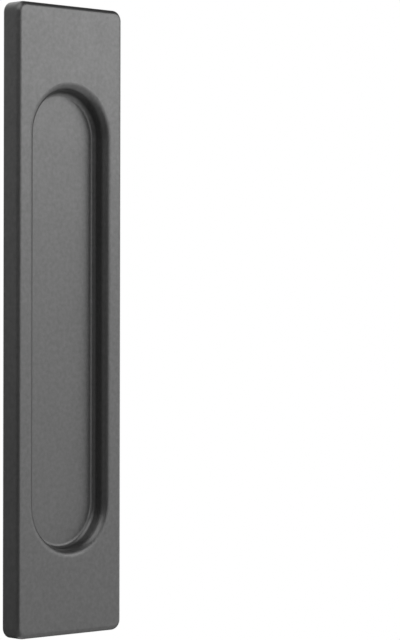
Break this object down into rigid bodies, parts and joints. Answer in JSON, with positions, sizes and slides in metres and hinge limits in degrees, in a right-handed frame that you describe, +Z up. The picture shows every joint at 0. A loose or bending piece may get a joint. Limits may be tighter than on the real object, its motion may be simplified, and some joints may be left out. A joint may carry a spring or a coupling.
{
  "type": "self-adhesive sliding door pull",
  "caption": "Slim rectangular metal door pull with a round-ended finger recess, a soft front edge and a flat adhesive tape back.",
  "frame": {"origin": "centre of the adhesive face, which is the plane of the door", "axes": "+Y is the adhesive face's outward normal, into the door, so the front faces -Y; +Z runs up the length of the pull, +X across its width"},
  "size_m": [0.033, 0.0062, 0.15],
  "materials": {
    "body_metal": "fine sand-blasted, dark grey anodised, satin",
    "foam_tape": "closed-cell acrylic foam, matte edges, tacky face"
  },
  "bodies": {
    "root": {"pull_body": "body_metal", "adhesive_tape": "foam_tape"}
  },
  "joints": []
}
